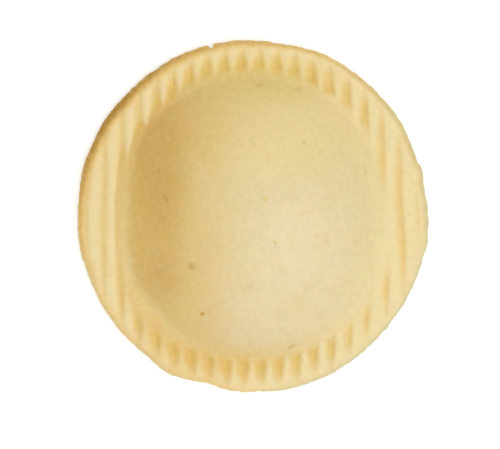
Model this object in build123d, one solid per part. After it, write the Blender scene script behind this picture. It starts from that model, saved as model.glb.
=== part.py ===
from build123d import *
import math
import os

# A round filled pasta: two sheets of egg dough, crimped together round a mound of soft cheese.
# The underside lies on Z = 0 with its centre at the origin. +Z is up, and the rim's ribs run along Y.
# Sizes are in millimetres.

# The cut edge
cut_radius = 30.5
# Radius of the edge every 15 degrees, from +X towards +Y, as shares of the cut radius
edge_shares = (
    0.996, 0.985, 0.985, 0.990, 1.000, 0.998,
    1.000, 1.004, 1.005, 1.000, 1.004, 1.003,
    0.999, 0.998, 0.996, 0.998, 1.012, 0.988,
    0.996, 0.998, 0.996, 0.989, 0.986, 0.992,
)
lip_width = 1.3  # the smooth margin outside the ribs, which slopes down to the cut
lip_thickness = 0.45  # the top sheet at the cut

# The bottom sheet
bottom_thickness = 1.0
bottom_edge_width = 0.5  # how far the underside is drawn in below the cut
bottom_edge_height = 0.4

# The ribs pressed into the rim
rib_pitch = 3.0
rib_height = 0.75
rib_valley_share = 0.15  # how far the ribs' own valleys lie below the groove floor, of the rib height
groove_thickness = 0.55  # the top sheet under the deepest part of a groove
groove_run = 4.5  # over which the grooves rise to the lip

# The crimp: low ridges of the bottom sheet that are pressed up into the top sheet, one under each rib
crimp_height = 0.25
crimp_margin = 0.5  # from the foot of the dome, and from the lip

# The dome, which is a little longer along the ribs than across them
rim_width_along = 5.0  # from the cut to where the dome's back meets the seam
rim_width_across = 6.6
total_height = 12.0
crown_thickness = 0.9
# Height of a mound at a share of its reach: height * (1 - share ** crown_power) ** foot_power
crown_power = 2.5
foot_power = 1.2

# The pocket in the dome, and the filling that lies in it on the bottom sheet
pocket_inset = 1.5  # from the dome's back to the edge of the pocket, at the seam
filling_clearance = 0.3

# The flecks of bran that show in the top sheet
fleck_length = 0.9
fleck_width = 0.55
fleck_thickness = 0.25
fleck_proud = 0.03
# Corners of a fleck, as shares of half its length and half its width
fleck_corner_shares = (
    (1.0, 0.1),
    (0.35, 0.9),
    (-0.6, 1.0),
    (-1.0, -0.2),
    (-0.3, -1.0),
    (0.7, -0.8),
)
# Each fleck: its place across and along the dome, as shares of the dome's half width and half length,
# its size, as a share of the fleck size above, and its turn in degrees
fleck_shares = (
    (-0.37, -0.67, 0.85, 20),
    (-0.635, 0.12, 1.00, 115),
    (-0.685, 0.30, 0.60, 40),
    (0.085, 0.11, 0.60, 150),
    (0.165, -0.185, 0.75, 160),
    (0.37, 0.50, 0.60, 75),
    (0.27, -0.87, 1.00, 25),
    (0.05, 0.88, 0.70, 10),
)

overrun = 2.0  # how far a cutter passes what it cuts
profile_steps = 14  # points along a mound's profile

seam = bottom_thickness
groove_floor = seam + groove_thickness
crest = groove_floor + rib_height
lip_radius = cut_radius - lip_width
dome_half_length = cut_radius - rim_width_along
dome_half_width = cut_radius - rim_width_across
dome_rise = total_height - seam
pocket_half_length = dome_half_length - pocket_inset
pocket_rise = dome_rise - crown_thickness


def edge_face(height, inset):
    """The round inside the cut edge as a flat face at a height, drawn in by an inset."""
    inset_share = (cut_radius - inset) / cut_radius
    points = []
    for i, share in enumerate(edge_shares):
        angle = 2 * math.pi * i / len(edge_shares)
        radius = cut_radius * share * inset_share
        points.append((radius * math.cos(angle), radius * math.sin(angle), height))
    return make_face(Spline(*points, periodic=True))


def ribbed_slab(bottom, valley, top):
    """A slab wider than the cut, with round ribs along Y on its flat back. One rib stands over X = 0."""
    count = 2 * math.ceil((cut_radius + overrun) / rib_pitch) + 1
    half_width = count * rib_pitch / 2
    ribs = []
    for i in range(count):
        left = i * rib_pitch - half_width
        middle = left + rib_pitch / 2
        right = left + rib_pitch
        ribs.append(ThreePointArc((left, valley), (middle, top), (right, valley)))
    sides = Polyline((half_width, valley), (half_width, bottom), (-half_width, bottom), (-half_width, valley))
    profile = make_face(Curve() + ribs + sides)
    return extrude(Plane.XZ * profile, amount=cut_radius + overrun, both=True)


def flat_ring(inner, outer, bottom, top):
    """A flat ring round the Z axis."""
    profile = Pos((inner + outer) / 2, (bottom + top) / 2) * Rectangle(outer - inner, top - bottom)
    return revolve(Plane.XZ * profile, axis=Axis.Z)


def mound_share(share):
    """Height of a mound at a share of its reach, as a share of its full height."""
    return (1 - share**crown_power) ** foot_power


def mound(half_length, rise):
    """A mound on the seam, as much narrower across the ribs than along them as the dome is."""
    points = []
    for i in range(profile_steps + 1):
        share = math.sin(math.pi / 2 * i / profile_steps)
        points.append(Vector(half_length * share, seam + rise * mound_share(share)))
    back = Spline(*points, tangents=((1, 0), points[-1] - points[-2]))
    sides = Polyline(points[-1], (0, seam), points[0])
    turned = revolve(Plane.XZ * make_face(Curve() + back + sides), axis=Axis.Z)
    return scale(turned, by=(dome_half_width / dome_half_length, 1, 1))


def make_bottom_sheet():
    """The flat sheet underneath, with the crimp's ridges on its top."""
    plate = extrude(edge_face(bottom_edge_height, 0), amount=seam - bottom_edge_height)
    underside = loft([edge_face(0, bottom_edge_width), edge_face(bottom_edge_height, 0)], ruled=True)
    crimp_inner = dome_half_length + crimp_margin
    crimp_outer = lip_radius - crimp_margin
    ridges = ribbed_slab(seam - crimp_height, seam, seam + crimp_height)
    crimp = ridges & flat_ring(crimp_inner, crimp_outer, seam - crimp_height, seam + crimp_height)
    return plate + underside + crimp


def make_rim():
    """The top sheet before it is domed: round ribs, whose grooves run out into a smooth lip."""
    ribs = ribbed_slab(seam, groove_floor - rib_height * rib_valley_share, crest)
    floor_profile = Polyline(
        (0, seam),
        (lip_radius + groove_run, seam),
        (lip_radius + groove_run, crest + rib_height),
        (lip_radius - groove_run, groove_floor),
        (0, groove_floor),
        close=True,
    )
    floor = revolve(Plane.XZ * make_face(floor_profile), axis=Axis.Z)
    lip_top = seam + lip_thickness
    lip_height = crest - lip_top
    cut = extrude(edge_face(seam, 0), amount=lip_thickness)
    lip = loft([edge_face(lip_top, 0), edge_face(crest + lip_height, 2 * lip_width)], ruled=True)
    return (ribs + floor) & (cut + lip)


def fleck_plane(across_share, along_share):
    """The plane that touches the dome at a place across and along it."""
    reach_share = math.hypot(across_share, along_share)
    fall = crown_power * foot_power * reach_share ** (crown_power - 2)
    fall *= (1 - reach_share**crown_power) ** (foot_power - 1)
    normal = (
        dome_rise * fall * across_share / dome_half_width,
        dome_rise * fall * along_share / dome_half_length,
        1,
    )
    place = (
        across_share * dome_half_width,
        along_share * dome_half_length,
        seam + dome_rise * mound_share(reach_share),
    )
    return Plane(origin=place, z_dir=normal)


def make_flecks():
    """Flakes of bran, each set into the dome's surface and standing a hair proud of it."""
    flecks = []
    for across_share, along_share, size_share, turn in fleck_shares:
        half_length = fleck_length / 2 * size_share
        half_width = fleck_width / 2 * size_share
        corners = [(x * half_length, y * half_width) for x, y in fleck_corner_shares]
        flake = extrude(make_face(Polyline(*corners, close=True)), amount=fleck_thickness)
        seat = Pos(0, 0, fleck_proud - fleck_thickness) * Rot(0, 0, turn)
        flecks.append(fleck_plane(across_share, along_share) * seat * flake)
    return flecks


def make_top_sheet(bottom_sheet, flecks):
    """The domed sheet on top. It is hollow over the filling, and pressed onto the bottom sheet."""
    dome = mound(dome_half_length, dome_rise)
    pocket = mound(pocket_half_length, pocket_rise)
    return make_rim() + dome - pocket - bottom_sheet - flecks


def make_filling():
    """The mound of cheese between the sheets."""
    return mound(pocket_half_length - filling_clearance, pocket_rise - filling_clearance)


def main():
    os.makedirs("parts", exist_ok=True)
    bottom_sheet = make_bottom_sheet()
    flecks = make_flecks()
    pieces = {
        "bottom_sheet": bottom_sheet,
        "top_sheet": make_top_sheet(bottom_sheet, flecks),
        "cheese_filling": make_filling(),
        "bran_flecks": Compound(flecks),
    }
    for name, piece in pieces.items():
        export_step(piece, f"parts/{name}.step")


main()
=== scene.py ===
import math

import bpy
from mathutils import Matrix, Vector, noise


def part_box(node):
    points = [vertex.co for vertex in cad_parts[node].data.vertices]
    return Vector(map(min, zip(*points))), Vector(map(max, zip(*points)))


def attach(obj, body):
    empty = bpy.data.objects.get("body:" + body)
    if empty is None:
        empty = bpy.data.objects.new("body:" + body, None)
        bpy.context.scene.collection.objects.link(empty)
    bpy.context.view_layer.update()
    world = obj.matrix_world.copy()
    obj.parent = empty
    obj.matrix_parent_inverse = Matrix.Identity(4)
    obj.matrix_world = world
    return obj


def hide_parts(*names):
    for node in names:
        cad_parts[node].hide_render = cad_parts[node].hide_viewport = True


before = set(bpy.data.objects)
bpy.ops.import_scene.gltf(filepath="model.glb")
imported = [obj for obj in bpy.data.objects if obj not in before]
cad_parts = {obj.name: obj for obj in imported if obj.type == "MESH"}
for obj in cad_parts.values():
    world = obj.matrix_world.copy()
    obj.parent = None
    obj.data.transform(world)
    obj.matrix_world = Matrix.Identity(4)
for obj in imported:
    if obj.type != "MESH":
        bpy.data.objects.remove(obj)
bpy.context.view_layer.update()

# A round filled pasta: a domed top sheet of egg dough with a ribbed rim, a flat bottom sheet,
# soft cheese between them, and flecks of bran. +Y runs along the ribs. Lengths are in metres,
# apart from those that are said to be in millimetres.
mm = 0.001

# What the frame gives
top_low, top_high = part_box("top_sheet")
cheese_low, cheese_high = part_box("cheese_filling")
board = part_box("bottom_sheet")[0][2]
seam = top_low[2]
crown = top_high[2]
cut_radius = (top_high[0] - top_low[0]) / 2

# The cut edge: angle from +X in degrees, and the radius there as a share of the cut radius
edge_shares = (
    (0, 0.999), (5, 0.993), (10, 0.988), (15, 0.998), (19, 0.988), (24, 0.988),
    (32, 0.998), (42, 0.998), (52, 1.000), (60, 1.004), (66, 1.006), (74, 1.001),
    (82, 0.996), (90, 1.000), (98, 1.005), (108, 1.007), (118, 1.006), (128, 1.003),
    (138, 1.000), (148, 1.006), (156, 1.002), (162, 1.006), (170, 0.999), (180, 0.999),
    (190, 1.003), (200, 0.998), (212, 1.000), (224, 1.001), (232, 1.000), (237, 1.010),
    (241, 1.018), (246, 1.009), (251, 0.999), (255, 0.988), (261, 1.001), (267, 1.006),
    (272, 1.001), (281, 1.006), (290, 1.004), (300, 1.002), (310, 0.997), (320, 0.993),
    (332, 0.995), (344, 0.998), (351, 1.006), (355, 1.002),
)
edge_roughness = 0.17 * mm
edge_grain = 0.9 * mm
fine_edge_grain = 0.4 * edge_grain
fine_edge_share = 0.5  # how rough the fine grain is, as a share of the coarse one's roughness
edge_draw = 0.4  # how far the cut is drawn in on average, as a share of its roughness
edge_round = 0.12 * mm
nick_angle = math.radians(103.7)
nick_width = 0.48 * mm
nick_floor = 0.6 * nick_width
nick_depth = 0.75 * mm

# The lip, a smooth slope from the ribs to the cut
lip_thickness = 0.45 * mm
lip_width = 1.0 * mm
lip_width_swing = 0.4 * mm
lip_widest = math.radians(140)
lip_power = 1.6
lip_spare = 0.09 * mm  # how far its inner end passes the ribs' crest

# The ribs. Three values are for the dome's two ends, its left side and its right side.
rib_pitch = 3.033 * mm
rib_offset = -0.45 * mm
rib_lean = 0.006
rib_crest = seam + 1.3 * mm
groove_bottom = 0.57  # where a groove is deepest, from the crest on its left, 0, to the next one, 1
groove_depths = (0.58 * mm, 0.3 * mm, 0.26 * mm)
groove_powers = (1.0, 1.3, 1.9)  # the higher, the narrower the groove
groove_margin = 0.5 * mm  # from the cut to where the grooves start
# From where a groove starts at the lip to where it has its full depth
groove_runs = (3.6 * mm, 2.2 * mm, 3.4 * mm)
groove_taper = 5.5 * mm  # from its narrow end at the lip to its wide end at the dome
taper_powers = (2.0, 0.75)
groove_start = 0.9 * mm  # half of the stretch over which a groove sets in beside the dome
groove_size = 3 * mm
groove_unevenness = 0.2
rim_unevenness = 0.06 * mm
rim_uneven_size = 5 * mm
rim_even_width = 2 * mm  # over which the unevenness sets in, from the cut inwards
left_middle = math.pi
left_spread = math.radians(60)
right_middle = math.radians(-5)
right_spread = math.radians(65)
facing_core = 0.4  # of a spread: nearer to its middle, a direction counts fully
# The outermost ribs aren't quite straight: how far they are pushed to the right, and where
left_bow = 0.3 * mm
left_bow_across = (-12 * mm, -17 * mm)
left_bow_along = (1 * mm, 7 * mm)
right_bows = (-0.22 * mm, 0.38 * mm)  # above the middle, and below it
right_bow_across = (19.5 * mm, 22.5 * mm)
right_bow_along = (4 * mm, -9 * mm)

# The dome
dome_spare = 0.12 * mm  # how far its smooth form stays below the crown, to leave room for its bumps
foot_softnesses = (0.8 * mm, 0.9 * mm, 0.5 * mm)
# Height of the dome at a share of its reach: (1 - share ** crown power) ** foot power
dome_reaches = (26.2 * mm, 25.4 * mm, 26.2 * mm)
crown_powers = (3.0, 3.0, 2.8)
foot_powers = (1.35, 1.15, 1.8)
side_shares = (0.1, 1)  # how far sideways a direction points where a side's value sets in, and is full
centre_radius = 0.01 * mm  # keeps the side's share finite at the centre
# At the lower left its foot is drawn in
dent_depth = 1.0 * mm
dent_middle = math.radians(209)
dent_spread = math.radians(26)
# The left flank is flatter: it rises slowly from its foot and ends at a straight, soft shoulder
flank_foot = 26.5 * mm
flank_end = 34 * mm
flank_shoulder = 7.3 * mm
flank_width = 2 * mm  # the least that it has from its foot to its shoulder
flank_rise = 10.6 * mm
shoulder_slope = 0.2
flank_softness = 1.2 * mm
# Its back is a little uneven, in wide bumps and in narrower ones
dome_bulge = 0.18 * mm
dome_bulge_size = 11 * mm
dome_ripple = 0.05 * mm
dome_ripple_size = 4 * mm
uneven_shares = (1.0, 0.8)  # of its reach: where the unevenness begins, and where it is full

# Round the dome: angle from +X in degrees, and radius in millimetres at which the grooves start.
# Then how golden the dough is there, which is partly painted shade in the crease at the dome's foot, how
# many millimetres outwards that reaches, and how golden the dome's flank is, which is partly painted shade
# where it faces away from the lamp.
foot_places = (
    (0, 24.3, 0.0, 0.5, 0.0), (15, 22.9, 0.0, 0.5, 0.0), (35, 24.5, 0.2, 0.8, 0.05),
    (50, 25.0, 0.28, 1.2, 0.1), (65, 25.1, 0.32, 2.0, 0.1), (90, 25.3, 0.5, 2.8, 0.2),
    (115, 25.4, 0.75, 2.4, 0.5), (135, 24.6, 0.9, 1.8, 1.0), (150, 24.6, 0.8, 1.0, 1.0),
    (180, 23.6, 0.58, 0.8, 0.95), (200, 24.6, 0.42, 1.0, 0.84), (215, 26.0, 0.66, 2.2, 0.66),
    (235, 26.3, 0.84, 5.0, 0.35), (251, 25.6, 0.86, 6.0, 0.15), (270, 25.1, 0.6, 4.5, 0.1),
    (296, 25.1, 0.3, 1.2, 0.05), (320, 25.4, 0.15, 0.6, 0.0), (345, 25.0, 0.05, 0.5, 0.0),
)
# The golden ring at the dome's foot, partly painted shade in the crease there
foot_gold_and_shade_holds = (0.2 * mm, 2.5 * mm, 0.5 * mm)  # how far inwards it stays strong
foot_gold_and_shade_fade = 3.6 * mm
foot_gold_and_shade_fingers = 1.6 * mm  # how much further out it reaches in a groove than on a crest
# How strong the painted shade in the grooves is, at the dome's two ends, its left side and its right side
groove_shade_strengths = (0.82, 0.4, 0.6)
# A golden tint with painted shade on the left of the dome's back, away from the lamp
left_gold_and_shade_share = 0.38
left_gold_and_shade_across = (-0.5 * mm, -9 * mm)
# How steep the flank is where its gold and painted shade set in, and are full
flank_steepness = (0.15, 0.8)
slope_step = 0.5 * mm
# Above the ribs' crest: where the colours of the dome begin, and where they are full
dome_colour_heights = (-0.2 * mm, 1.4 * mm)
dome_tint_rise = 3 * mm

# How dry and brown the cut is, and at the upper left also painted shade on the lip, which faces away from
# the lamp: angle from +X in degrees, and share
dry_and_shade_places = (
    (0, 0.22), (25, 0.45), (60, 0.45), (90, 0.52), (115, 0.68), (140, 0.9),
    (160, 0.84), (180, 0.5), (205, 0.33), (240, 0.28), (300, 0.17), (335, 0.17),
)
dry_reaches = (1.6 * mm, 1.3 * mm)  # how far inwards that reaches, and how much more at the left
dry_core = 0.3 * mm  # how far inwards it is full
dry_middle = math.radians(175)
dry_spread = math.radians(115)

# Flour that clings to the lip, and how far inwards from the cut it ends and is full
lip_flour_middle = math.radians(-35)
lip_flour_spread = math.radians(55)
lip_flour_reaches = (1.6 * mm, 0.5 * mm)

# Painted shade on the slope of the lip at the cut: greyer on the right, and at the upper right that reaches
# further inwards
grey_strength = 0.6
grey_middle = math.radians(-15)
grey_spread = math.radians(90)
grey_reach = 0.85 * mm
grey_more = 0.5 * mm
grey_more_middle = math.radians(30)
grey_more_spread = math.radians(45)
grey_core = 0.25 * mm

# Patches of colour seen from above: middle and half sizes along X and Y in millimetres, and strength
# Painted highlight: pale patches where the lamp's broad reflection falls on the dome
highlight_beside = (9, -7, 14, 21, 1)
highlight_below = (2, -16.5, 19, 12, 1)
# Painted light from above on the upper part of the dome
top_light_patch = (4, 16, 21, 13, 0.75)
# Painted shade on the left flank, away from the lamp
deep_shade_above = (-16, 10, 6.5, 20, 0.45)
deep_shade_below = (-15.5, -10, 4.5, 6.5, 0.36)
# Greener painted shade at the dome's foot at the top
olive_shade_foot = (1, 23.5, 19, 6, 0.6)
patch_core = 0.2  # of its half sizes: nearer to its middle, a patch is full

# The seam, the pocket and the underside
seam_wave = 0.1 * mm
seam_wave_size = 3 * mm
seam_wave_reach = 3 * mm  # how far inwards from the cut the seam is wavy
pocket_thickness = 1.1 * mm
pocket_softness = 0.2 * mm
sheet_overlap = 0.05 * mm  # how far the top sheet is pressed into the bottom one
underside_unevenness = 0.06 * mm
underside_uneven_size = 3 * mm
underside_flour_height = 0.3 * mm

# The filling
filling_gap = 0.3 * mm
curd_size = 1.7 * mm
curd_depth = 0.45 * mm
crease_sharpness = 2.5
curd_grain = 0.4 * curd_size
curd_grain_depth = 0.3 * curd_depth
cheese_edge = 0.15 * mm
cheese_power = 10  # the higher, the more abruptly the heap ends at its edge
cheese_least = 0.5 * mm  # room that the pocket leaves for the heap where it ends
cheese_step = 0.1 * mm  # by which its end is looked for

# Flecks of bran: place, length, width and turn, in millimetres and degrees, and how dark each is
bran_flakes = (
    (-8.72, -16.8, 0.85, 0.7, 20, 0.8),
    (-15.0, 3.05, 1.9, 0.7, 122, 0.7),
    (-16.15, 7.6, 0.9, 0.65, 95, 0.66),
    (2.05, 2.85, 0.95, 0.75, 150, 0.05),
    (3.75, -4.55, 0.85, 0.6, 120, 0.08),
    (8.7, 12.55, 0.9, 0.75, 75, 0.04),
    (6.67, -22.55, 1.6, 0.6, 28, 0.3),
    (1.15, 22.45, 1.35, 0.55, 30, 0.3),
)
flake_corners = 16
flake_thickness = 0.2 * mm
flake_proud = 0.025 * mm
# Steps from a flake's edge to its middle: how far in, as a share of its radius, and share of its rise
flake_steps = ((0.25, 0.6), (0.4, 0.4))
flake_raggedness = 0.3
flake_ragged_size = 0.7  # of half its size
flake_point = 0.4  # how much narrower it is at its two ends

# Marks that are too faint to be pieces: place in millimetres, size in millimetres, and strength
faint_marks = (
    (-10.47, -8.65, 1.0, 0.5),
    (-0.45, -12.2, 0.9, 0.15),
    (10.75, -15.65, 0.6, 0.14),
    (-16.0, -9.6, 0.6, 0.25),
    (7.95, 22.0, 0.9, 0.15),
    (19.4, 7.5, 0.6, 0.13),
    (-7.3, -16.45, 0.6, 0.2),
    (-16.2, 5.95, 0.8, 0.2),
    (-15.5, -0.6, 1.0, 0.2),
)
mark_core = 0.3  # of its size: nearer to its middle, a mark is full

# Seeds, one for each kind of unevenness
groove_seed = 3.1
rim_seed = 5.5
dome_bulge_seed = 7.7
dome_ripple_seed = 1.3
seam_seed = 9.1
top_cut_seed = 2.5
bottom_cut_seed = 6.5
underside_seed = 2.2
curd_seed = 4.4
curd_grain_seed = 8.8

# The meshes
round_steps = 720  # places round the middle at which a smooth closed curve is worked out
sheet_spokes = 450
cheese_spokes = 180
wall_rows = 3  # of faces up the wall of a sheet's cut
rim_start = 21 * mm  # outside it a sheet's rings are closer
spread_start = 0.8 * rim_start  # outside it the blank is spread or drawn in to meet the rough cut
round_middle = (0.3, 0.7)  # halfway round a rounded edge: how far in, and how far up, as shares
ring_near = 0.01 * mm  # points this near to a ring belong to it
touching = 0.001 * mm  # points this near to each other or to a flat side count as touching
# Widths of rings where they start and where they end, from outside inwards
rim_ring_widths = (0.2 * mm, 0.4 * mm)
dome_ring_widths = (0.45 * mm, 0.6 * mm)
pocket_ring_widths = (1.0 * mm, 1.5 * mm)
underside_ring_widths = (1.0 * mm, 2.0 * mm)
curd_ring_widths = (0.3 * mm, 0.5 * mm)
cheese_underside_widths = (2 * mm, 3 * mm)
# Radius of the fan of triangles that closes the middle of a side
fine_fan = 0.3 * mm
coarse_fan = 0.5 * mm
cheese_fan = 0.4 * mm

# The camera, which stands straight above as the photo's does. The photo's size and the object's place
# in it are in pixels, and the lens and the sensor are in millimetres.
photo_scale = 0.1728 * mm  # length of a pixel on the object
photo_width = 500
photo_height = 449
object_centre = (253, 216)
lens = 200
sensor = 36

# The floor and the light
floor_size = 4
floor_colour = (0.62, 0.63, 0.66, 1)
floor_glow = 0.46
sky_colour = (1, 0.92, 0.74, 1)
sky_strength = 0.68
key_size = 0.4
key_energy = 1.9  # in watts
key_colour = (0.90, 0.98, 1)
key_distance = 0.6
key_azimuth = math.radians(-30)
key_elevation = math.radians(73)


def clamp(value, low=0.0, high=1.0):
    return max(low, min(high, value))


def ease(start, end, value):
    """0 before start, 1 after end, and smooth between them."""
    share = clamp((value - start) / (end - start))
    return share * share * (3 - 2 * share)


def soft_max(a, b, softness):
    """The larger of two heights, rounded over where they meet."""
    share = clamp(0.5 + (a - b) / (2 * softness))
    return b + (a - b) * share + softness * share * (1 - share)


def soft_min(a, b, softness):
    return -soft_max(-a, -b, softness)


def ripple(x, y, size, seed):
    """Smooth unevenness between about -1 and 1, whose bumps are as wide as size."""
    return noise.noise(Vector((x / size, y / size, seed)))


def smooth_at(places, column, degrees):
    """The value at an angle, on a smooth closed curve through a column of places round the middle."""
    count = len(places)
    for i, place in enumerate(places):
        end = places[(i + 1) % count][0] + 360 * (i == count - 1)
        if place[0] <= degrees < end:
            break
    points = []
    for j in range(i - 1, i + 3):
        place = places[j % count]
        points.append((place[0] + 360 * (j // count), place[column]))
    (t0, p0), (t1, p1), (t2, p2), (t3, p3) = points
    span = t2 - t1
    t = (degrees - t1) / span
    slope1 = (p2 - p0) / (t2 - t0) * span
    slope2 = (p3 - p1) / (t3 - t1) * span
    return (
        p1 * (2 * t**3 - 3 * t**2 + 1)
        + slope1 * (t**3 - 2 * t**2 + t)
        + p2 * (3 * t**2 - 2 * t**3)
        + slope2 * (t**3 - t**2)
    )


def round_curve(places, column):
    """Close steps of the smooth curve, so that it is worked out only once."""
    return [smooth_at(places, column, 360 * i / round_steps) for i in range(round_steps)]


edge_curve = round_curve(edge_shares, 1)
foot_curve = round_curve(foot_places, 1)
# Golden tone and painted shade round the dome's foot and on its flank
foot_gold_and_shade_curve = round_curve(foot_places, 2)
foot_gold_and_shade_reach_curve = round_curve(foot_places, 3)
flank_gold_and_shade_curve = round_curve(foot_places, 4)
dryness_and_shade_curve = round_curve(dry_and_shade_places, 1)


def along_curve(curve, angle):
    """The value of a curve round the middle, at an angle."""
    place = (angle / math.tau) % 1 * round_steps
    i = int(place)
    here = curve[i % round_steps]
    there = curve[(i + 1) % round_steps]
    return here + (there - here) * (place - i)


def edge_radius(angle):
    """Radius of the cut at an angle."""
    return cut_radius * along_curve(edge_curve, angle)


def inset_at(x, y):
    """How far a place lies inside the cut."""
    return edge_radius(math.atan2(y, x)) - math.hypot(x, y)


def bow(x, y):
    """How far the outermost ribs are pushed to the right."""
    above, below = right_bows
    right = (above + (below - above) * ease(*right_bow_along, y)) * ease(*right_bow_across, x)
    return right + left_bow * ease(*left_bow_across, x) * ease(*left_bow_along, y)


def across_groove(x, y):
    """How far a place lies down the side of a groove: 0 on a rib's crest and 1 at the bottom."""
    across = (x - rib_offset + rib_lean * y - bow(x, y)) / rib_pitch
    place = across - math.floor(across)
    share = min(place / groove_bottom, (1 - place) / (1 - groove_bottom))
    return 0.5 - 0.5 * math.cos(math.pi * share)


def lip_reach(angle):
    """Width of the slope that runs down to the cut, which is widest at the upper left."""
    return lip_width + lip_width_swing * math.cos(angle - lip_widest)


def on_dome_side(values, x, y):
    """The dome's value for a direction, which changes slowly from its ends to its sides."""
    ends, left, right = values
    across = x / (math.hypot(x, y) + centre_radius)
    to_left = ease(*side_shares, -across)
    to_right = ease(*side_shares, across)
    return ends + (left - ends) * to_left + (right - ends) * to_right


def facing(angle, middle, spread):
    """1 round a direction from the centre, and 0 from an angle of spread away from it."""
    return ease(math.cos(spread), math.cos(facing_core * spread), math.cos(angle - middle))


def on_rim_side(values, angle):
    """The rim's value for a direction."""
    ends, left, right = values
    to_left = facing(angle, left_middle, left_spread)
    to_right = facing(angle, right_middle, right_spread)
    return ends + (left - ends) * to_left + (right - ends) * to_right


def groove_fall(x, y, angle, inset):
    """How far a place has sunk into a groove, 0 to 1. A groove starts beside the dome.

    It tapers outwards, and runs out before it reaches the lip."""
    foot = along_curve(foot_curve, angle) * mm
    beside = ease(foot - groove_start, foot + groove_start, math.hypot(x, y))
    outwards = ease(groove_margin, groove_margin + on_rim_side(groove_runs, angle), inset)
    at_lip, at_dome = taper_powers
    taper = at_lip + (at_dome - at_lip) * ease(groove_margin, groove_margin + groove_taper, inset)
    power = on_rim_side(groove_powers, angle) * taper
    uneven = 1 + groove_unevenness * ripple(x, y, groove_size, groove_seed)
    return beside * outwards * across_groove(x, y) ** power * uneven


def rim_height(x, y, angle, inset):
    """Height of the ribbed rim at a distance inset from the cut."""
    return rib_crest - on_rim_side(groove_depths, angle) * groove_fall(x, y, angle, inset)


def lip_height(angle, inset):
    """Height of the slope that runs down to the cut."""
    width = lip_reach(angle)
    share = clamp(inset / width)
    rise = (rib_crest + lip_spare - seam - lip_thickness) * (1 - (1 - share) ** lip_power)
    return seam + lip_thickness + rise + max(0, inset - width)


def flank_height(x, y):
    """Height above the seam of the flatter flank on the left."""
    foot = flank_foot * math.sqrt(max(0, 1 - (y / flank_end) ** 2))
    rise = flank_rise * ease(-max(foot, flank_shoulder + flank_width), -flank_shoulder, x)
    return rise + shoulder_slope * max(0, x + flank_shoulder)


def dome_unevenness(x, y):
    """How far the dome's back stands above or below its smooth form."""
    wide = dome_bulge * ripple(x, y, dome_bulge_size, dome_bulge_seed)
    return wide + dome_ripple * ripple(x, y, dome_ripple_size, dome_ripple_seed)


def dome_height(x, y):
    """Height of the dome over its whole reach. Its flanks run out softer than its ends do."""
    dent = dent_depth * facing(math.atan2(y, x), dent_middle, dent_spread)
    share = math.hypot(x, y) / (on_dome_side(dome_reaches, x, y) - dent)
    if share >= 1:
        return seam
    fall = (1 - share ** on_dome_side(crown_powers, x, y)) ** on_dome_side(foot_powers, x, y)
    rise = soft_min((crown - dome_spare - seam) * fall, flank_height(x, y), flank_softness)
    return seam + max(rise, 0) + dome_unevenness(x, y) * ease(*uneven_shares, share)


def top_height(x, y):
    """Height of the top sheet's outside."""
    angle = math.atan2(y, x)
    inset = inset_at(x, y)
    rim = soft_min(rim_height(x, y, angle, inset), lip_height(angle, inset), edge_round)
    uneven = rim_unevenness * ripple(x, y, rim_uneven_size, rim_seed) * ease(0, rim_even_width, inset)
    return soft_max(rim + uneven, dome_height(x, y), on_dome_side(foot_softnesses, x, y))


def seam_height(x, y):
    """Height where the two sheets meet, which is wavy at the cut."""
    wave = seam_wave * ripple(x, y, seam_wave_size, seam_seed)
    return seam + wave * ease(seam_wave_reach, 0, inset_at(x, y))


def pocket_height(x, y):
    """Height of the top sheet's inside: the seam at the rim, and the roof of the pocket under the dome."""
    roof = dome_height(x, y) - pocket_thickness
    return soft_max(seam_height(x, y), roof, pocket_softness) - sheet_overlap


def deselect_all():
    bpy.ops.object.select_all(action="DESELECT")


def start_disc(name, count, radius, height):
    """A ring of edges, which the next rings are drawn from in edit mode."""
    deselect_all()
    bpy.ops.mesh.primitive_circle_add(vertices=count, radius=radius, location=(0, 0, height))
    piece = bpy.context.object
    piece.name = name
    piece.data.name = name
    bpy.ops.object.transform_apply(location=True, rotation=True, scale=True)
    bpy.ops.object.mode_set(mode="EDIT")
    bpy.ops.mesh.select_mode(type="EDGE")
    bpy.ops.mesh.select_all(action="SELECT")
    return piece


def next_ring(radius, new_radius, rise):
    """The selected ring is extruded, and the new one takes another radius and height."""
    bpy.ops.mesh.extrude_edges_move(TRANSFORM_OT_translate={"value": (0, 0, rise)})
    share = new_radius / radius
    bpy.ops.transform.resize(value=(share, share, 1), center_override=(0, 0, 0))
    return new_radius


def draw_rings(radius, radii):
    """Level rings from the selected one inwards."""
    for new_radius in radii:
        radius = next_ring(radius, new_radius, 0)
    return radius


def round_over(radius, step):
    """The selected ring at the cut is rounded over to a flat side, which lies a step up or down."""
    halfway_in, halfway_up = round_middle
    radius = next_ring(radius, cut_radius - edge_round * halfway_in, step * halfway_up)
    return next_ring(radius, cut_radius - edge_round, step * halfway_in)


def ring_radii(outer, inner, widths):
    """Radii from outer to inner, whose widths change evenly from the first width to the last."""
    radii = [outer]
    while radii[-1] > inner:
        share = (outer - radii[-1]) / (outer - inner)
        radii.append(radii[-1] - widths[0] - (widths[1] - widths[0]) * share)
    count = len(radii) - 1
    stretch = (outer - inner) / (outer - radii[count])
    return [outer - (outer - radius) * stretch for radius in radii[1:]]


def fill_hole():
    """The selected ring is filled with a fan of triangles."""
    bpy.ops.mesh.edge_face_add()
    bpy.ops.mesh.poke()


def close_side(radius, fan_radius, widths):
    """Rings are drawn inwards from the selected one, and the hole in their middle is filled."""
    draw_rings(radius, ring_radii(radius, fan_radius, widths))
    fill_hole()


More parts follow.
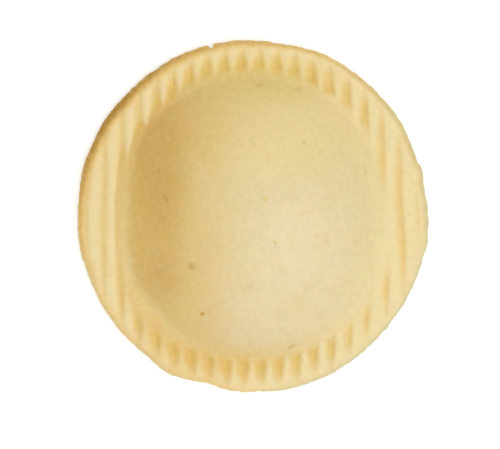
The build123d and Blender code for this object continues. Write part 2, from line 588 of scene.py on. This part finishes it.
def select_ring(piece, radius, height):
    """Selects the edges that lie on a ring."""
    bpy.ops.mesh.select_all(action="DESELECT")
    bpy.ops.object.mode_set(mode="OBJECT")
    for vertex in piece.data.vertices:
        off = abs(math.hypot(vertex.co.x, vertex.co.y) - radius)
        vertex.select = off < ring_near and abs(vertex.co.z - height) < ring_near
    for edge in piece.data.edges:
        edge.select = all(piece.data.vertices[i].select for i in edge.vertices)
    bpy.ops.object.mode_set(mode="EDIT")


def select_rim(piece, height):
    """Selects the faces of the rim that lie flat at a height."""
    bpy.ops.mesh.select_mode(type="FACE")
    bpy.ops.mesh.select_all(action="DESELECT")
    bpy.ops.object.mode_set(mode="OBJECT")
    for face in piece.data.polygons:
        out = math.hypot(face.center.x, face.center.y) > rim_start
        face.select = out and abs(face.center.z - height) < touching
    bpy.ops.object.mode_set(mode="EDIT")


def finish_mesh(piece):
    """Merges doubles, turns all faces outwards and shades the piece smooth."""
    bpy.ops.mesh.select_all(action="SELECT")
    bpy.ops.mesh.remove_doubles(threshold=touching)
    bpy.ops.mesh.normals_make_consistent(inside=False)
    bpy.ops.object.mode_set(mode="OBJECT")
    bpy.ops.object.shade_smooth()
    deselect_all()


def make_sheet(name, low, high, fine_side, coarse_widths):
    """A flat round of dough with rounded cut edges: the blank that is pressed into shape afterwards.

    Its fine side has close rings at the rim."""
    fine, coarse = (high, low) if fine_side > 0 else (low, high)
    step = fine_side * edge_round
    piece = start_disc(name, sheet_spokes, cut_radius, coarse + step)
    wall = (fine - coarse - 2 * step) / wall_rows
    radius = cut_radius
    for _ in range(wall_rows):
        radius = next_ring(radius, cut_radius, wall)
    radius = round_over(radius, step)
    radius = draw_rings(radius, ring_radii(radius, rim_start, rim_ring_widths))
    close_side(radius, fine_fan, dome_ring_widths)
    select_ring(piece, cut_radius, coarse + step)
    radius = round_over(cut_radius, -step)
    close_side(radius, coarse_fan, coarse_widths)
    return piece


def spread(point, seed):
    """Where a point of the round blank goes, so that the blank's edge follows the rough cut."""
    radius = math.hypot(point.x, point.y)
    if radius < spread_start:
        return point.x, point.y
    angle = math.atan2(point.y, point.x)
    edge = edge_radius(angle)
    coarse = ripple(point.x, point.y, edge_grain, seed)
    fine = ripple(point.x, point.y, fine_edge_grain, seed)
    edge += edge_roughness * (coarse + fine_edge_share * fine - edge_draw)
    edge -= nick_depth * ease(nick_width, nick_floor, abs(angle - nick_angle) * cut_radius)
    share = 1 + (edge / cut_radius - 1) * ease(spread_start, cut_radius, radius)
    return point.x * share, point.y * share


def make_top_sheet():
    """The top sheet: the blank's back is pressed into dome, ribs and lip, and its front into the pocket."""
    blank_top = seam + lip_thickness
    piece = make_sheet("top_dough", seam, blank_top, 1, pocket_ring_widths)
    select_rim(piece, blank_top)
    bpy.ops.mesh.subdivide(number_cuts=1)
    finish_mesh(piece)
    middle = (seam + blank_top) / 2
    for vertex in piece.data.vertices:
        point = vertex.co
        x, y = spread(point, top_cut_seed)
        if point.z > middle:
            share = ease(0, 1, (point.z - blank_top + edge_round) / edge_round)
            point.z += (top_height(x, y) - blank_top) * share
        elif point.z - seam < touching:
            point.z = pocket_height(x, y)
        else:
            point.z += seam_height(x, y) - seam
        point.x, point.y = x, y
    return piece


def make_bottom_sheet():
    """The bottom sheet, rolled flat. Its underside is nearly level, because it lies on the board."""
    piece = make_sheet("bottom_dough", board, seam, -1, underside_ring_widths)
    finish_mesh(piece)
    for vertex in piece.data.vertices:
        point = vertex.co
        x, y = spread(point, bottom_cut_seed)
        if point.z < board + touching:
            uneven = 0.5 + 0.5 * ripple(x, y, underside_uneven_size, underside_seed)
            point.z += underside_unevenness * uneven
        elif point.z > seam - 1.5 * edge_round:
            point.z += seam_height(x, y) - seam
        point.x, point.y = x, y
    return piece


def cheese_height(x, y):
    """How high the curds may stand above the bottom sheet, clear of the pocket's roof."""
    return pocket_height(x, y) - filling_gap - cheese_low[2]


def cheese_reach(angle):
    """How far the heap of cheese reaches, where the pocket is just high enough for it."""
    reach = cheese_high[1]
    while cheese_height(reach * math.cos(angle), reach * math.sin(angle)) < cheese_least:
        reach -= cheese_step
    return reach


def make_cheese():
    """The filling: a heap of soft curds that fills the pocket, with a flat underside."""
    low = cheese_low[2]
    half_width = cheese_high[0]
    piece = start_disc("cheese", cheese_spokes, half_width, low)
    next_ring(half_width, half_width, cheese_edge)
    close_side(half_width, cheese_fan, curd_ring_widths)
    select_ring(piece, half_width, low)
    close_side(half_width, cheese_fan, cheese_underside_widths)
    finish_mesh(piece)
    for vertex in piece.data.vertices:
        point = vertex.co
        angle = math.atan2(point.y, point.x)
        share = math.hypot(point.x, point.y) / half_width
        reach = cheese_reach(angle)
        x = share * reach * math.cos(angle)
        y = share * reach * math.sin(angle)
        if point.z > low + cheese_edge / 2:
            crease = 1 - min(1, crease_sharpness * abs(ripple(x, y, curd_size, curd_seed)))
            grains = abs(ripple(x, y, curd_grain, curd_grain_seed))
            rise = cheese_height(x, y) - curd_depth * crease - curd_grain_depth * (1 - grains)
            point.z += max(0, rise - cheese_edge) * math.sqrt(max(0, 1 - share**cheese_power))
        point.x, point.y = x, y
    return piece


def shape_flake(piece, x, y, length, width, turn):
    """Bends a flat round flake to the dough's surface, and gives it ragged sides and pointed ends."""
    for vertex in piece.data.vertices:
        point = vertex.co
        ragged = 1 + flake_raggedness * ripple(point.x, point.y, flake_ragged_size, x / mm)
        along = point.x * length / 2 * ragged
        across = point.y * width / 2 * ragged * (1 - flake_point * point.x**2)
        depth = point.z
        point.x = x + along * math.cos(turn) - across * math.sin(turn)
        point.y = y + along * math.sin(turn) + across * math.cos(turn)
        point.z = top_height(point.x, point.y) + depth


def make_flake(x, y, length, width, turn):
    """One flake of bran, pressed into the dough. Its middle stands a hair proud."""
    deselect_all()
    bpy.ops.mesh.primitive_circle_add(vertices=flake_corners, radius=1, fill_type="NGON")
    flake = bpy.context.object
    bpy.ops.object.mode_set(mode="EDIT")
    bpy.ops.mesh.select_mode(type="FACE")
    bpy.ops.mesh.select_all(action="SELECT")
    for inset, rise_share in flake_steps:
        bpy.ops.mesh.inset(thickness=inset)
        bpy.ops.transform.translate(value=(0, 0, rise_share * flake_proud))
    bpy.ops.mesh.poke()
    bpy.ops.mesh.select_mode(type="EDGE")
    bpy.ops.mesh.select_all(action="DESELECT")
    bpy.ops.mesh.select_non_manifold()
    bpy.ops.mesh.extrude_edges_move(TRANSFORM_OT_translate={"value": (0, 0, -flake_thickness)})
    fill_hole()
    finish_mesh(flake)
    shape_flake(flake, x, y, length, width, turn)
    return flake


def make_bran():
    """All flakes of bran, as one piece."""
    flakes = []
    for x, y, length, width, turn, dark in bran_flakes:
        flake = make_flake(x * mm, y * mm, length * mm, width * mm, math.radians(turn))
        paint(flake, "dark", lambda point, dark=dark: dark)
        flakes.append(flake)
    deselect_all()
    for flake in flakes:
        flake.select_set(True)
    bpy.context.view_layer.objects.active = flakes[0]
    bpy.ops.object.join()
    bran = bpy.context.object
    bran.name = "bran"
    bran.data.name = "bran"
    deselect_all()
    return bran


class Value:
    """A socket of a finish's nodes. Sums and products of values add their Math nodes."""

    def __init__(self, finish, socket):
        self.finish = finish
        self.socket = socket

    def maths(self, operation, first, second):
        return self.finish.node("ShaderNodeMath", {"operation": operation}, {0: first, 1: second})

    def __add__(self, other):
        return self.maths("ADD", self, other)

    def __radd__(self, other):
        return self.maths("ADD", other, self)

    def __mul__(self, other):
        return self.maths("MULTIPLY", self, other)

    def __rmul__(self, other):
        return self.maths("MULTIPLY", other, self)

    def between(self, low, high):
        """0 at low, 1 at high, smooth between them and flat beyond them."""
        values = {"Value": self, "From Min": low, "From Max": high}
        return self.finish.node("ShaderNodeMapRange", {"interpolation_type": "SMOOTHSTEP"}, values)

    def from_least(self, least, more):
        """A strength that is at its least where the value is 0, and that much more where it is 1."""
        return least + self * more


class Finish:
    """A material, whose nodes are added by its methods. Its lengths are in millimetres."""

    def __init__(self, name):
        self.material = bpy.data.materials.new(name)
        self.material.use_nodes = True
        self.tree = self.material.node_tree
        self.shader = self.tree.nodes["Principled BSDF"]
        place = self.node("ShaderNodeTexCoord", {}, {}, "Object")
        self.place = self.vector("SCALE", {0: place, "Scale": 1 / mm})

    def node(self, kind, settings, values, output=0):
        """Adds a node with its settings and the values or links of its sockets, and gives an output."""
        node = self.tree.nodes.new(kind)
        for name, setting in settings.items():
            setattr(node, name, setting)
        for name, value in values.items():
            self.fill(node.inputs[name], value)
        return Value(self, node.outputs[output])

    def fill(self, socket, value):
        if isinstance(value, Value):
            self.tree.links.new(value.socket, socket)
        else:
            socket.default_value = value

    def set(self, values):
        """Values or links for the shader's own sockets."""
        for name, value in values.items():
            self.fill(self.shader.inputs[name], value)

    def vector(self, operation, values, output=0):
        return self.node("ShaderNodeVectorMath", {"operation": operation}, values, output)

    def clouds(self, size, detail, rough):
        """Cloudy noise from 0 to 1, whose clouds are about as wide as size."""
        values = {"Vector": self.place, "Scale": 1 / size, "Detail": detail, "Roughness": rough}
        return self.node("ShaderNodeTexNoise", {}, values)

    def painted(self, name):
        """A value that is painted on the mesh."""
        return self.node("ShaderNodeAttribute", {"attribute_name": name}, {}, "Fac")

    def mix(self, share, low, high):
        """One colour at share 0 and another at share 1."""
        return self.node("ShaderNodeMix", {"data_type": "RGBA"}, {0: share, 6: low, 7: high}, 2)

    def mark(self, x, y, size):
        """1 at a place seen from above, and 0 from size away from it."""
        flat = self.vector("MULTIPLY", {0: self.place, 1: (1, 1, 0)})
        far = self.vector("DISTANCE", {0: flat, 1: (x, y, 0)}, "Value")
        return far.between(size, size * mark_core)

    def bump(self, height, depth, strength):
        """Makes the surface seem to rise by up to depth with a height from 0 to 1."""
        values = {"Height": height, "Distance": depth * mm, "Strength": strength}
        self.set({"Normal": self.node("ShaderNodeBump", {}, values)})


def colour(red, green, blue):
    """A colour as seen on a screen, 0 to 255, as the linear values that a socket takes."""
    linear = []
    for value in (red, green, blue):
        share = value / 255
        linear.append(share / 12.92 if share <= 0.04045 else ((share + 0.055) / 1.055) ** 2.4)
    return (*linear, 1)


cream = colour(229, 212, 168)
dome_cream = colour(221, 204, 161)
# Pale: flour under the bottom sheet, and a painted highlight on the dome
pale = colour(225, 209, 178)
# Golden: for the dry cut, and for painted shade at the dome's foot and on its flank
golden = colour(219, 184, 110)
# Painted shade in the grooves
groove_shade_orange = colour(228, 190, 100)
# Lighter and yellower: painted light from above
painted_top_light = colour(231, 213, 159)
shade = colour(200, 176, 126)
light = colour(234, 220, 186)
# Brown of a dry cut, and painted shade on the lip at the upper left
dried_and_shaded = colour(172, 134, 42)
lip_flour = colour(224, 209, 171)
# Dark gold: painted shade on the left flank
deep_shade_gold = colour(198, 160, 84)
# Grey painted shade at the cut
cut_shade_grey = colour(188, 186, 146)
# Greenish: painted shade at the top of the dome's foot
olive_shade = colour(220, 198, 126)
mark_brown = colour(190, 146, 96)
bran_pale = colour(223, 200, 142)
bran_dark = colour(190, 138, 16)
curd_white = colour(243, 238, 222)
curd_cream = colour(228, 217, 188)

# Clouds in the finishes: size in millimetres, how many finer ones lie in them, and how strong those are
dough_grain = (1.0, 3, 0.5)
dough_patches = (5, 3, 0.5)
dough_specks = (0.45, 2, 0.4)
dough_fine_grain = (0.35, 4, 0.6)
dough_pores = (0.16, 2, 0.5)
curd_clouds = (1.2, 4, 0.6)
curd_grains = (0.3, 3, 0.6)
husk_grain = (0.2, 3, 0.6)
# Stretches of those clouds, over which a colour sets in
flour_and_highlight_range = (0.2, 0.6)
shade_range = (0.45, 0.75)
light_range = (0.55, 0.25)
speck_range = (0.70, 0.80)
curd_range = (0.35, 0.65)
husk_range = (0.4, 0.7)
# Stretches of dryness over which the dough turns golden, and then brown
golden_range = (0, 0.6)
brown_range = (0.4, 1)
# Strengths: the least, and how much more in the middle of a cloud
patchiness = (0.8, 0.4)
deep_shade_patchiness = (0.7, 0.6)
dryness = (0.55, 0.45)
dough_roughness = (0.42, 0.16)
cheese_roughness = (0.25, 0.3)
bran_roughness = (0.5, 0.2)
grain_strength = 0.16
speck_strength = 0.12
husk_strength = 0.4
# Bumps: depth in millimetres, and strength
dough_bump = (0.1, 0.46)
cheese_bump = (0.15, 0.8)
bran_bump = (0.04, 0.6)
# How much of a bump comes from each kind of cloud, from the widest to the finest
dough_bump_shares = (0.5, 0.4, 0.1)
cheese_bump_shares = (0.5, 0.5)
# How deep light passes into the dough and the cheese, and how much of that each colour does
dough_light_depth = 1.5 * mm
dough_light_colours = (1.0, 0.55, 0.2)
cheese_light_depth = 2 * mm
cheese_light_colours = (1.0, 0.8, 0.6)


def dough_colour(finish, grain, patches):
    """The dough's colour: what is painted on it, which holds painted shade and painted light, dry edges,
    mottling, specks and faint marks.
    """
    patchy = patches.from_least(*patchiness)
    base = finish.mix(finish.painted("dome"), cream, dome_cream)
    # Pale: flour under the bottom sheet, and a painted highlight on the top sheet's dome
    base = finish.mix(finish.painted("flour_and_highlight") * patches.between(*flour_and_highlight_range), base, pale)
    # Painted light from above, lighter and yellower, on the upper dome
    base = finish.mix(finish.painted("painted_top_light"), base, painted_top_light)
    # Golden tone with painted shade at the dome's foot, on its flank and on the left of its back
    base = finish.mix(finish.painted("golden") * patchy, base, golden)
    # Painted shade on the left flank
    base = finish.mix(finish.painted("deep") * patches.from_least(*deep_shade_patchiness), base, deep_shade_gold)
    # Greener painted shade at the top of the dome's foot
    base = finish.mix(finish.painted("olive_shade") * patchy, base, olive_shade)
    # Painted shade down in the grooves
    base = finish.mix(finish.painted("groove") * patchy, base, groove_shade_orange)
    base = finish.mix(finish.painted("flour_edge"), base, lip_flour)
    # The dry cut turns golden, then brown, with painted shade on the lip at the upper left
    least, more = dryness
    dry = finish.painted("edge") * (least + grain * more + patches * more)
    base = finish.mix(dry.between(*golden_range), base, golden)
    base = finish.mix(dry.between(*brown_range), base, dried_and_shaded)
    # Grey painted shade at the cut on the right
    base = finish.mix(finish.painted("cut"), base, cut_shade_grey)
    base = finish.mix(grain.between(*shade_range) * grain_strength, base, shade)
    base = finish.mix(grain.between(*light_range) * grain_strength, base, light)
    specks = finish.clouds(*dough_specks).between(*speck_range)
    base = finish.mix(specks * speck_strength, base, mark_brown)
    for x, y, size, strength in faint_marks:
        base = finish.mix(finish.mark(x, y, size) * strength, base, mark_brown)
    return base


def dough_finish():
    """Matt egg dough with grain and pores, which lets light in a little."""
    finish = Finish("egg_dough")
    grain = finish.clouds(*dough_grain)
    patches = finish.clouds(*dough_patches)
    fine = finish.clouds(*dough_fine_grain)
    pores = finish.clouds(*dough_pores)
    grain_share, fine_share, pore_share = dough_bump_shares
    finish.bump(grain * grain_share + fine * fine_share + pores * pore_share, *dough_bump)
    finish.set({
        "Base Color": dough_colour(finish, grain, patches),
        "Roughness": fine.from_least(*dough_roughness),
        "IOR": 1.45,
        "Specular IOR Level": 0.5,
        "Subsurface Weight": 0.6,
        "Subsurface Scale": dough_light_depth,
        "Subsurface Radius": dough_light_colours,
    })
    return finish.material


def cheese_finish():
    """Moist white curds, creamier where the whey stands between them."""
    finish = Finish("soft_cheese")
    curds = finish.clouds(*curd_clouds)
    grains = finish.clouds(*curd_grains)
    curd_share, grain_share = cheese_bump_shares
    finish.bump(curds * curd_share + grains * grain_share, *cheese_bump)
    finish.set({
        "Base Color": finish.mix(curds.between(*curd_range), curd_cream, curd_white),
        "Roughness": grains.from_least(*cheese_roughness),
        "IOR": 1.38,
        "Subsurface Weight": 0.5,
        "Subsurface Scale": cheese_light_depth,
        "Subsurface Radius": cheese_light_colours,
    })
    return finish.material


def bran_finish():
    """Dull flakes of husk, with a fine grain."""
    finish = Finish("bran")
    husk = finish.clouds(*husk_grain)
    base = finish.mix(finish.painted("dark"), bran_pale, bran_dark)
    finish.bump(husk, *bran_bump)
    finish.set({
        "Base Color": finish.mix(husk.between(*husk_range) * husk_strength, base, bran_pale),
        "Roughness": husk.from_least(*bran_roughness),
        "IOR": 1.45,
    })
    return finish.material


def floor_finish():
    """A pale board that shines a little by itself, so that it looks as white as the photo's ground."""
    finish = Finish("floor")
    finish.set({
        "Base Color": floor_colour,
        "Roughness": 0.9,
        "Specular IOR Level": 0.1,
        "Emission Color": (1, 1, 1, 1),
        "Emission Strength": floor_glow,
    })
    return finish.material


def paint(piece, name, value_at):
    """Paints a value on each point of a piece."""
    layer = piece.data.attributes.new(name, "FLOAT", "POINT")
    values = [value_at(vertex.co) for vertex in piece.data.vertices]
    layer.data.foreach_set("value", values)


def on_dome(x, y):
    """0 on the rim and 1 on the dome."""
    return ease(*dome_colour_heights, dome_height(x, y) - rib_crest)


def dome_at(point):
    """The dome's back is a little darker than the rim."""
    return ease(rib_crest, rib_crest + dome_tint_rise, point.z)


def groove_shade_at(point):
    """Painted shade in the grooves: the dough is darker and more orange down in them, where light bounces
    between their walls.
    """
    x, y = point.x, point.y
    angle = math.atan2(y, x)
    fall = groove_fall(x, y, angle, inset_at(x, y))
    return on_rim_side(groove_shade_strengths, angle) * clamp(fall)


def foot_gold_and_shade(x, y, angle):
    """A golden ring at the dome's foot, which fades inwards more slowly than outwards. Partly it is painted
    shade in the crease where the dome meets the rim.
    """
    radius = math.hypot(x, y)
    foot = along_curve(foot_curve, angle) * mm
    reach = along_curve(foot_gold_and_shade_reach_curve, angle) * mm
    finger = foot_gold_and_shade_fingers * (0.5 - across_groove(x, y))
    outside = ease(foot + reach, foot, radius + finger)
    fade_start = foot - on_rim_side(foot_gold_and_shade_holds, angle)
    inside = ease(fade_start - foot_gold_and_shade_fade, fade_start, radius)
    return along_curve(foot_gold_and_shade_curve, angle) * outside * inside


def flank_gold_and_shade(x, y, angle):
    """How golden the dome's flank is: the steeper it is, the more. Much of it is painted shade, strongest
    on the left, where the flank faces away from the lamp.
    """
    here = dome_height(x, y)
    across = dome_height(x + slope_step, y) - here
    along = dome_height(x, y + slope_step) - here
    steep = math.hypot(across, along) / slope_step
    return along_curve(flank_gold_and_shade_curve, angle) * ease(*flank_steepness, steep) * on_dome(x, y)


def left_gold_and_shade(x, y):
    """A faint golden tint on the dome's back, left of its middle, which is partly painted shade on the side
    away from the lamp.
    """
    return left_gold_and_shade_share * ease(*left_gold_and_shade_across, x) * on_dome(x, y)


def gold_and_shade_at(point):
    """Golden at the dome's foot, on its flank or on the left of its back, much of it painted shade."""
    x, y = point.x, point.y
    angle = math.atan2(y, x)
    plain = (1 - foot_gold_and_shade(x, y, angle)) * (1 - flank_gold_and_shade(x, y, angle)) * (1 - left_gold_and_shade(x, y))
    return 1 - plain


def in_patch(point, patch):
    """How strong an oval patch is at a point: strongest in its middle, and 0 outside it."""
    x, y, half_width, half_length, strength = patch
    across = (point.x / mm - x) / half_width
    along = (point.y / mm - y) / half_length
    return strength * ease(1, patch_core, math.hypot(across, along))


def painted_highlight_at(point):
    """A painted highlight: paler dough where the lamp's broad reflection falls, on the right and the lower
    part of the dome.
    """
    return 1 - (1 - in_patch(point, highlight_beside)) * (1 - in_patch(point, highlight_below))


def painted_top_light_at(point):
    """Painted light from above: the upper part of the dome is lighter and yellower."""
    return in_patch(point, top_light_patch) * on_dome(point.x, point.y)


def deep_shade_at(point):
    """Painted shade: the flank on the left is the darkest, most of all in its upper part, which faces away
    from the lamp.
    """
    return max(in_patch(point, deep_shade_above), in_patch(point, deep_shade_below)) * on_dome(point.x, point.y)


def olive_shade_at(point):
    """The dome's foot at the top is greener, with painted shade where its slope faces away from the lamp.
    """
    return in_patch(point, olive_shade_foot)


def dry_and_shade_at(point):
    """How dry the dough is: the cut dries first. It is strongest at the upper left, where it is also
    painted shade on the lip, which faces away from the lamp.
    """
    angle = math.atan2(point.y, point.x)
    reach, more = dry_reaches
    reach += more * facing(angle, dry_middle, dry_spread)
    return along_curve(dryness_and_shade_curve, angle) * ease(reach, dry_core, inset_at(point.x, point.y))


def flour_edge_at(point):
    """Flour that clings to the lip at the right and lower right."""
    angle = math.atan2(point.y, point.x)
    share = facing(angle, lip_flour_middle, lip_flour_spread)
    return share * ease(*lip_flour_reaches, inset_at(point.x, point.y))


def cut_shade_at(point):
    """Painted shade: the cut itself is greyer on the right, as shade on the slope of its lip."""
    angle = math.atan2(point.y, point.x)
    share = facing(angle, grey_middle, grey_spread)
    reach = grey_reach + grey_more * facing(angle, grey_more_middle, grey_more_spread)
    return grey_strength * share * ease(reach, grey_core, inset_at(point.x, point.y))


def underside_flour_at(point):
    """Flour from the board, under the bottom sheet."""
    return 1 if point.z < board + underside_flour_height else 0


def paint_dough(piece, flour_and_highlight):
    """Paints all that the dough's colour depends on. The top sheet has a painted highlight where the bottom
    sheet has flour.
    """
    painted = {
        "dome": dome_at,
        "golden": gold_and_shade_at,
        "groove": groove_shade_at,
        "flour_and_highlight": flour_and_highlight,
        "painted_top_light": painted_top_light_at,
        "deep": deep_shade_at,
        "olive_shade": olive_shade_at,
        "edge": dry_and_shade_at,
        "cut": cut_shade_at,
        "flour_edge": flour_edge_at,
    }
    for name, value_at in painted.items():
        paint(piece, name, value_at)


def stand_for(piece, node, finish):
    """Puts a piece in place of a CAD node, with its finish."""
    piece.data.materials.clear()
    piece.data.materials.append(finish)
    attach(piece, "root")
    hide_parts(node)


def make_camera():
    """A camera straight above, which sees the object at the photo's place and size."""
    camera_data = bpy.data.cameras.new("camera")
    camera = bpy.data.objects.new("camera", camera_data)
    bpy.context.scene.collection.objects.link(camera)
    camera_data.lens = lens
    camera_data.sensor_width = sensor
    distance = photo_width * photo_scale * lens / sensor
    camera.location = (
        (photo_width / 2 - object_centre[0]) * photo_scale,
        -(photo_height / 2 - object_centre[1]) * photo_scale,
        distance + rib_crest,
    )
    bpy.context.scene.camera = camera


def make_floor():
    deselect_all()
    bpy.ops.mesh.primitive_plane_add(size=floor_size, location=(0, 0, board))
    floor = bpy.context.object
    floor.name = "floor"
    floor.data.materials.append(floor_finish())


def make_sky():
    """Soft warm light from all round."""
    world = bpy.data.worlds.new("world")
    bpy.context.scene.world = world
    world.use_nodes = True
    sky = world.node_tree.nodes["Background"]
    sky.inputs["Color"].default_value = sky_colour
    sky.inputs["Strength"].default_value = sky_strength


def make_key():
    """A wide lamp from the right, high above."""
    key_data = bpy.data.lights.new("key", "AREA")
    key_data.size = key_size
    key_data.energy = key_energy
    key_data.color = key_colour
    key = bpy.data.objects.new("key", key_data)
    bpy.context.scene.collection.objects.link(key)
    level = math.cos(key_elevation)
    direction = Vector((
        level * math.cos(key_azimuth),
        level * math.sin(key_azimuth),
        math.sin(key_elevation),
    ))
    key.location = direction * key_distance
    key.rotation_euler = direction.to_track_quat("Z", "Y").to_euler()


top_sheet = make_top_sheet()
bottom_sheet = make_bottom_sheet()
dough = dough_finish()
paint_dough(top_sheet, painted_highlight_at)
paint_dough(bottom_sheet, underside_flour_at)
stand_for(top_sheet, "top_sheet", dough)
stand_for(bottom_sheet, "bottom_sheet", dough)
stand_for(make_cheese(), "cheese_filling", cheese_finish())
stand_for(make_bran(), "bran_flecks", bran_finish())

make_camera()
make_floor()
make_sky()
make_key()
bpy.context.scene.view_settings.view_transform = "Standard"
